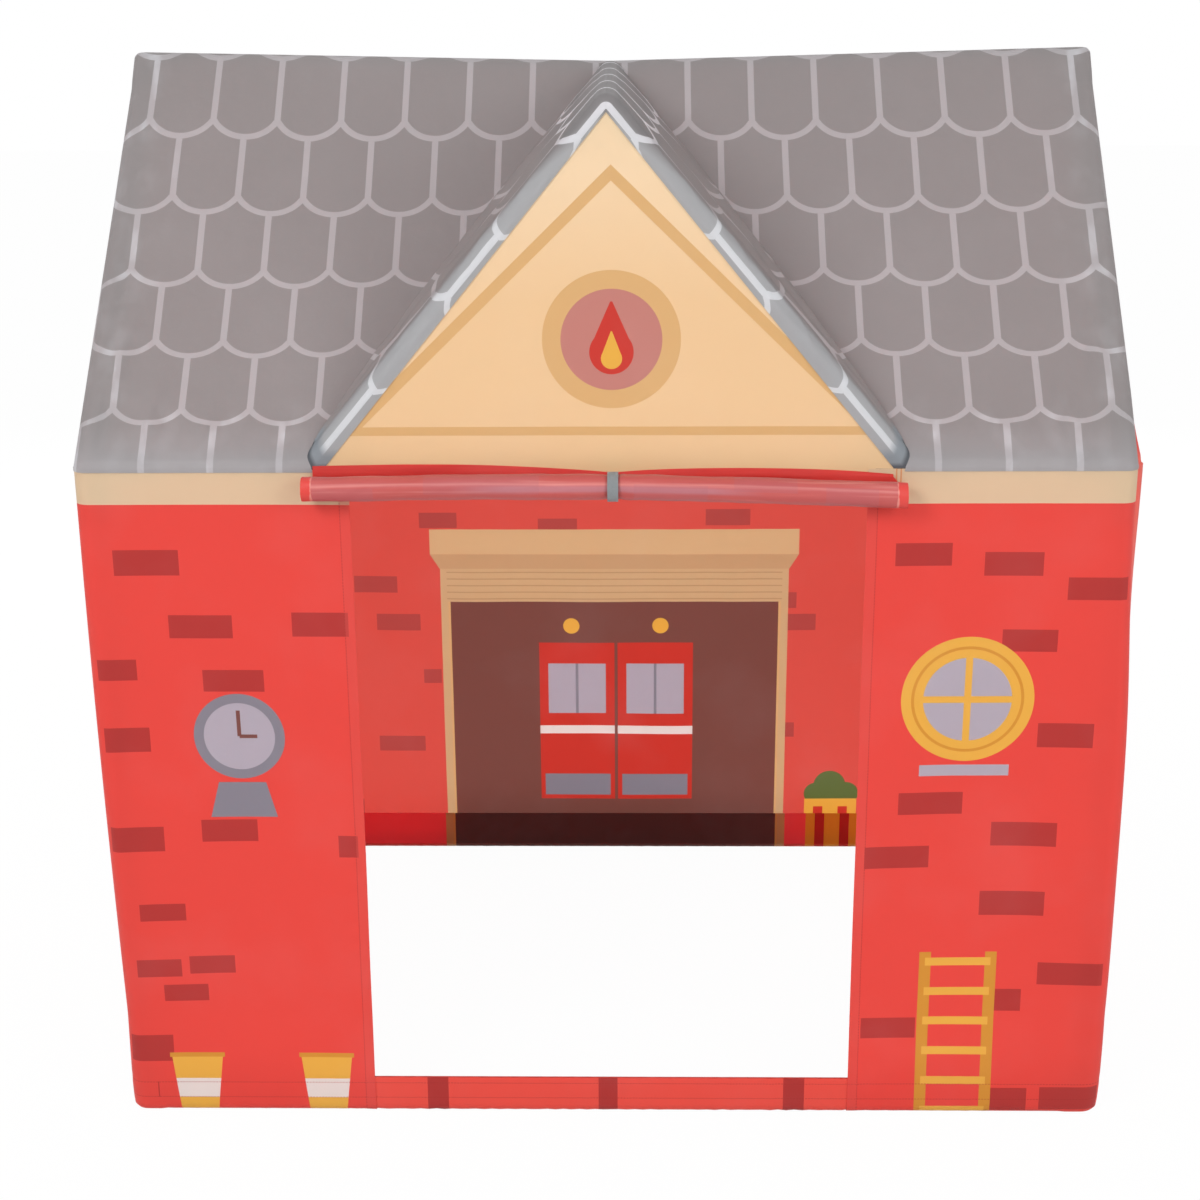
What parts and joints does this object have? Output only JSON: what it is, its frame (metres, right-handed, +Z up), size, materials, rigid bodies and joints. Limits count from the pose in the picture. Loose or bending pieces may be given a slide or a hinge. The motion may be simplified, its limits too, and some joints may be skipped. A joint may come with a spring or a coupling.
{
  "type": "play tent",
  "caption": "Small house-shaped play tent on a pole frame, with a gable roof, a front dormer and a cloth door rolled up over the doorway",
  "frame": {"origin": "on the floor, under the middle of the whole tent, the rolled door included", "axes": "+X to the right of someone who faces the doorway, +Y from the doorway to the back, +Z up"},
  "size_m": [1.016, 0.728, 1.0764],
  "materials": {
    "tube": "light grey plastic tube, satin",
    "connector": "black moulded plastic, fine grain",
    "cover_red": "red woven polyester with a printed brick pattern, slightly see-through",
    "cover_cream": "cream woven polyester with printed trim",
    "roof_grey": "grey woven polyester with printed scalloped shingles",
    "door_red": "red woven polyester, its paler inner side outwards on the roll",
    "webbing": "grey woven tape"
  },
  "bodies": {
    "root": {"door_header": "cover_cream", "door_sill": "cover_red", "door_tie": "webbing", "dormer_apex": "connector", "dormer_foot_left": "connector", "dormer_foot_right": "connector", "dormer_gable": "cover_cream", "dormer_rafter_left": "tube", "dormer_rafter_right": "tube", "dormer_ridge_pole": "tube", "dormer_roof_left": "roof_grey", "dormer_roof_right": "roof_grey", "eave_corner_back_left": "connector", "eave_corner_back_right": "connector", "eave_corner_front_left": "connector", "eave_corner_front_right": "connector", "eave_pole_back": "tube", "eave_pole_front_left": "tube", "eave_pole_front_middle": "tube", "eave_pole_front_right": "tube", "eave_pole_left": "tube", "eave_pole_right": "tube", "floor_corner_back_left": "connector", "floor_corner_back_right": "connector", "floor_corner_front_left": "connector", "floor_corner_front_right": "connector", "floor_rail_back": "tube", "floor_rail_front": "tube", "floor_rail_left": "tube", "floor_rail_right": "tube", "front_panel_left": "cover_red", "front_panel_right": "cover_red", "post_back_left": "tube", "post_back_right": "tube", "post_front_left": "tube", "post_front_right": "tube", "rafter_back_left": "tube", "rafter_back_right": "tube", "rafter_front_left": "tube", "rafter_front_right": "tube", "ridge_end_left": "connector", "ridge_end_right": "connector", "ridge_pole_left": "tube", "ridge_pole_right": "tube", "ridge_tee": "connector", "roof_back": "roof_grey", "roof_front_left": "roof_grey", "roof_front_right": "roof_grey", "wall_back": "cover_red", "wall_left": "cover_red", "wall_right": "cover_red"},
    "door_hanger": {"door_cloth": "door_red"},
    "door": {"door_roll": "door_red"}
  },
  "joints": [
    {"name": "door_drop", "type": "slide", "parent": "root", "child": "door_hanger", "axis": [0, 0, -1], "range_m": [0, 0.64], "deforming": ["door_cloth", "door_tie"]},
    {"name": "roll_spin", "type": "hinge", "parent": "door_hanger", "child": "door", "pos_m": [0, -0.3494, 0.6875], "axis": [1, 0, 0], "range_deg": [0, 3600]}
  ],
  "couplings": [
    {"joint": "roll_spin", "follows": "door_drop", "rad_per_m": 98.175}
  ]
}
